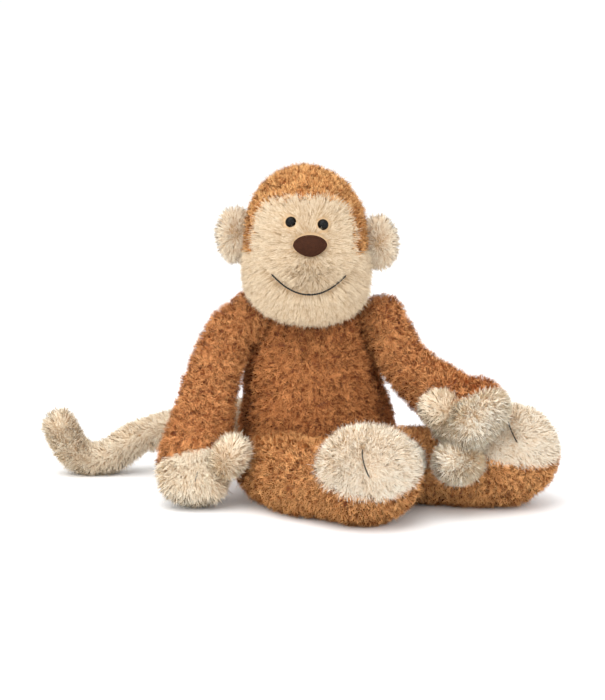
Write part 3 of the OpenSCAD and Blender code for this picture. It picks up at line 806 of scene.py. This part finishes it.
for side in ("right", "left"):
    middle = fold_spot("wrist_" + side) + thumb_offset[side]
    thumb = lobe("thumb_cloth_" + side, middle, thumb_way[side], 0.014, 0.0102, 15)
    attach(thumb, "hand_" + side)
    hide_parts("thumb_" + side)
    thumb_fur = grow("thumb_fur_" + side, [thumb], shag_yarn, 0.0068, mess=0.8, seed=51,
                     lean=lambda p, n, w=thumb_way[side]: w * 0.5, **shag)
    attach(thumb_fur, "hand_" + side)

# ---- Legs ----
# Each leg is a tube of brown pile that ends in a round foot weighted with pellets. The
# foot's heel is brown, and its sole is a cream pad with a stitch down the middle.

sole_offset = {"right": np.array([0.024, -0.014, 0.0085]), "left": np.array([0.025, -0.002, 0.0115])}
# The sole's shades are a copy of the shaggy cream, set to how light the pad looks under these lamps: painted
# light and shade.
sole_yarn = yarn_materials("sole fibre", linear(235, 206, 169), linear(244, 237, 222))
pad_way = {"right": unit([0, -0.44, 0.9]), "left": unit([0.2, -0.27, 0.94])}
pad_seam = {"right": 0.006, "left": 0.009}
stitch_way = {"right": unit([-0.16, -0.88, 0.45]), "left": unit([-0.02, -0.74, 0.67])}
leg_size = [(0, 0.0212), (1, 0.0245), (2, 0.0245), (3, 0.0250), (3.7, 0.0262), (4, 0.0278),
            (4.25, 0.0312),
            (4.5, 0.0330), (4.8, 0.0334), (5, 0.0312)]
leg_spread = [(0, 1), (5, 1)]
foot_middle = {}
for side in ("right", "left"):
    hip, knee, ankle = (fold_spot(j + side) for j in ("hip_", "knee_", "ankle_"))
    sole = ankle + sole_offset[side]
    rise = np.array([0, 0, 0.003 if side == "left" else 0])
    points = np.array([hip, half_way(hip, knee) + rise, knee + rise / 2, half_way(knee, ankle), ankle, sole])
    foot_middle[side] = ankle + 0.85 * (sole - ankle)
    ahead = np.array([0, 0, 1.0])
    lengths = (("thigh", 0, 2 - fold_reach, "torso"), ("shin", 2 - fold_reach, 4 - 0.4, "thigh"),
               ("foot", 4 - 0.4, 5, "shin"))

    def on_pad(p, side=side):
        """Which points lie on the cream side of the foot's seam."""
        return (p - foot_middle[side]) @ pad_way[side] > pad_seam[side]

    def stitch_trim(p, side=side):
        """The pile parts along the stitch down the sole."""
        across = unit(np.cross(stitch_way[side], [0, 0, 1.0]))
        off = np.abs((p - foot_middle[side]) @ across)
        drop = np.abs((p - foot_middle[side]) @ np.cross(across, stitch_way[side]))
        return np.where((off < 0.004) & (drop < 0.013), 0.35 + 0.65 * off / 0.004, 1.0)

    for part, start, stop, above in lengths:
        is_foot = part == "foot"
        skin = soft_limb(f"{part}_cloth_{side}", points, leg_size, leg_spread, ahead, start, stop,
                         not is_foot, seed=17)
        skin.data.materials.append(brown_backing)
        lean = down_the_limb(points, 0.2, 0.15)
        keep = None
        if is_foot:
            skin.data.materials.append(cream_backing)
            centres = np.array([p.center[:] for p in skin.data.polygons])
            skin.data.polygons.foreach_set("material_index", on_pad(centres).astype(np.int32))
            pad_fur = grow("foot_pad_fur_" + side, [skin], sole_yarn, 0.0075, mess=1.1, seed=61,
                           keep=on_pad, trim=stitch_trim,
                           lean=lambda p, n: np.array([0.3, 0, -0.55]), **shag)
            keep = lambda p: ~on_pad(p)
        fur = grow(f"{part}_fur_{side}", [skin], brown_yarn, 0.0062, per_mm2=2.4, lean=lean,
                   mess=0.95, seed=62, keep=keep, **brown_curl)
        body = f"{part}_{side}"
        moved = [skin, fur] + ([pad_fur] if is_foot else [])
        if part == "thigh":
            for piece in moved:
                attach(piece, body)
        else:
            middle = 2 if part == "shin" else 4
            for piece in moved:
                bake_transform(piece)
        if is_foot:
            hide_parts("foot_pad_" + side, "heel_" + side, "foot_pellets_" + side)
        else:
            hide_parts(f"{part}_skin_{side}", f"{part}_stuffing_{side}")

# ---- Big toes ----
# A round lobe of shaggy cream pile, sewn to the inner edge of each foot and riding with
# it, as the thumb does on the hand.

toe_offset = {"right": np.array([0.0425, 0.0145, 0.0105]), "left": np.array([-0.017, -0.0382, 0.0115])}
toe_way = {"right": unit([0.55, 0.82, 0.1]), "left": unit([-0.78, -0.6, 0.15])}
for side in ("right", "left"):
    middle = fold_spot("ankle_" + side) + toe_offset[side]
    long = 0.014 if side == "right" else 0.018
    toe = lobe("big_toe_cloth_" + side, middle, toe_way[side], long, 0.012, 19)
    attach(toe, "foot_" + side)
    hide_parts("big_toe_" + side)
    # The big toes take the lighter copy of the shaggy cream: painted light.
    toe_fur = grow("big_toe_fur_" + side, [toe], shag_yarn_painted_light, 0.0068, mess=0.8, seed=71,
                   lean=lambda p, n, w=toe_way[side]: w * 0.5, **shag)
    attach(toe_fur, "foot_" + side)

# ---- Stitches ----
# A short run of dark twisted thread that pulls in the middle of each sole and of the
# right palm, sewn through the pile into the filling.


def on_skin(skin, start, way, rise):
    """Where a line from start along way leaves the skin, lifted by rise."""
    spot = skin.ray_cast(Vector(start + way * 0.08), Vector(-way))[1]
    return np.array(spot) + np.array(way) * rise


for side in ("right", "left"):
    across = unit(np.cross(stitch_way[side], [0, 0, 1.0]))
    down = np.cross(stitch_way[side], across)
    skin = bpy.data.objects["foot_cloth_" + side]
    route = []
    for k in np.linspace(-1, 1, 11):
        way = unit(stitch_way[side] + 0.3 * k * down - (0.1 * k + 0.04 * k * k) * across)
        route.append(on_skin(skin, foot_middle[side], way, 0.0042))
    stitch = twisted_thread("sole_thread_" + side, route, 0.0005, stitch_way[side])
    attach(stitch, "foot_" + side)
    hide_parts("sole_stitch_" + side)
palm = bpy.data.objects["hand_cloth_right"]
palm_middle = half_way(arm_pose["right"][4], arm_pose["right"][6])
route = [on_skin(palm, palm_middle + np.array([0.002 - 0.001 * k, 0, -0.0035 * k - 0.004]),
                 np.array([0, -1.0, 0]), 0.0042) for k in np.linspace(-1, 1, 7)]
stitch = twisted_thread("palm_thread_right", route, 0.0004)
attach(stitch, "hand_right")
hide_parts("palm_stitch_right")

# ---- Tail ----
# A thin tube of shaggy cream pile, filled with loose fibre and sewn into the back seam of
# the torso. It folds at its root, and its end curls up.

root, second, third = (fold_spot(j) for j in ("tail_swing", "tail_lift", "tail_curl"))
points = np.array([root, half_way(root, second), second, half_way(second, third), third,
                   third + [-0.0202, -0.0012, -0.0128], third + [-0.03675, -0.00275, -0.01525],
                   third + [-0.0497, -0.0047, -0.0073], third + [-0.059, -0.007, 0.011]])
tail_size = [(0, 0.0082), (4, 0.0088), (8, 0.0092)]
# The tail's shades are a darker copy of the shaggy cream: painted shade.
tail_yarn_painted_shade = yarn_materials("tail fibre painted shade", linear(226, 197, 160), linear(246, 236, 215))
for part, start, stop, above in (("tail_root", 0, 1.6, None), ("tail_middle", 1.6, 3.6, "tail_root"),
                                 ("tail_tip", 3.6, 8, "tail_middle")):
    skin = soft_limb(part + "_cloth", points, tail_size, [(0, 1), (8, 1)], np.array([0, 0.3, 1.0]), start,
                     stop, part != "tail_tip", seed=23)
    skin.data.materials.append(cream_backing)
    fur = grow(part + "_fur", [skin], tail_yarn_painted_shade, 0.0072, mess=0.85, seed=81,
               lean=down_the_limb(points, 0.55), **shag)
    for piece in (skin, fur):
        if above is None:
            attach(piece, part)
        else:
            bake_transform(piece)
    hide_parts(part + "_skin", part + "_stuffing")

# ---- Studio ----
# A plain white floor that runs out of sight, wide soft lights overhead and at both sides,
# a small one in front for the glint in the eyes, and a long lens.

floor_mesh = bpy.data.meshes.new("floor")
floor_mesh.from_pydata([(-6, -4, 0), (6, -4, 0), (6, 8, 0), (-6, 8, 0)], [], [(0, 1, 2, 3)])
floor = bpy.data.objects.new("floor", floor_mesh)
bpy.context.scene.collection.objects.link(floor)
white = bpy.data.materials.new("white paper")
white.use_nodes = True
white.node_tree.nodes["Principled BSDF"].inputs["Base Color"].default_value = (0.92, 0.92, 0.92, 1)
white.node_tree.nodes["Principled BSDF"].inputs["Roughness"].default_value = 0.9
floor_mesh.materials.append(white)


def soft_light(name, place, aim, size, watts):
    """A square soft box."""
    data = bpy.data.lights.new(name, "AREA")
    data.size, data.energy = size, watts
    lamp = bpy.data.objects.new(name, data)
    lamp.location = place
    lamp.rotation_euler = (Vector(aim) - Vector(place)).to_track_quat("-Z", "Y").to_euler()
    bpy.context.scene.collection.objects.link(lamp)


soft_light("overhead", (-0.3, -0.5, 1.6), (0, 0, 0.1), 1.6, 20)
soft_light("front left", (-1.2, -1.5, 0.9), (0, 0, 0.12), 1.0, 10)
soft_light("front right", (1.3, -1.3, 0.8), (0, 0, 0.12), 1.0, 8)
soft_light("catch light", (-0.25, -2.0, 0.75), (0, 0, 0.2), 0.1, 2.2)
scene = bpy.context.scene
scene.world = bpy.data.worlds.new("studio")
scene.world.use_nodes = True
scene.world.node_tree.nodes["Background"].inputs["Color"].default_value = (1, 1, 1, 1)
scene.world.node_tree.nodes["Background"].inputs["Strength"].default_value = 1.05
scene.view_settings.view_transform = "Standard"
lens = bpy.data.cameras.new("camera")
camera = bpy.data.objects.new("camera", lens)
scene.collection.objects.link(camera)
scene.camera = camera
lift, away = math.radians(12), 3.2
aim = Vector((-0.0116, 0, 0.1084))
camera.location = aim + Vector((0, -math.cos(lift), math.sin(lift))) * away
camera.rotation_euler = (aim - camera.location).to_track_quat("-Z", "Y").to_euler()
lens.sensor_width = 36
lens.lens = 36 * away / 0.525
lens.clip_end = 30
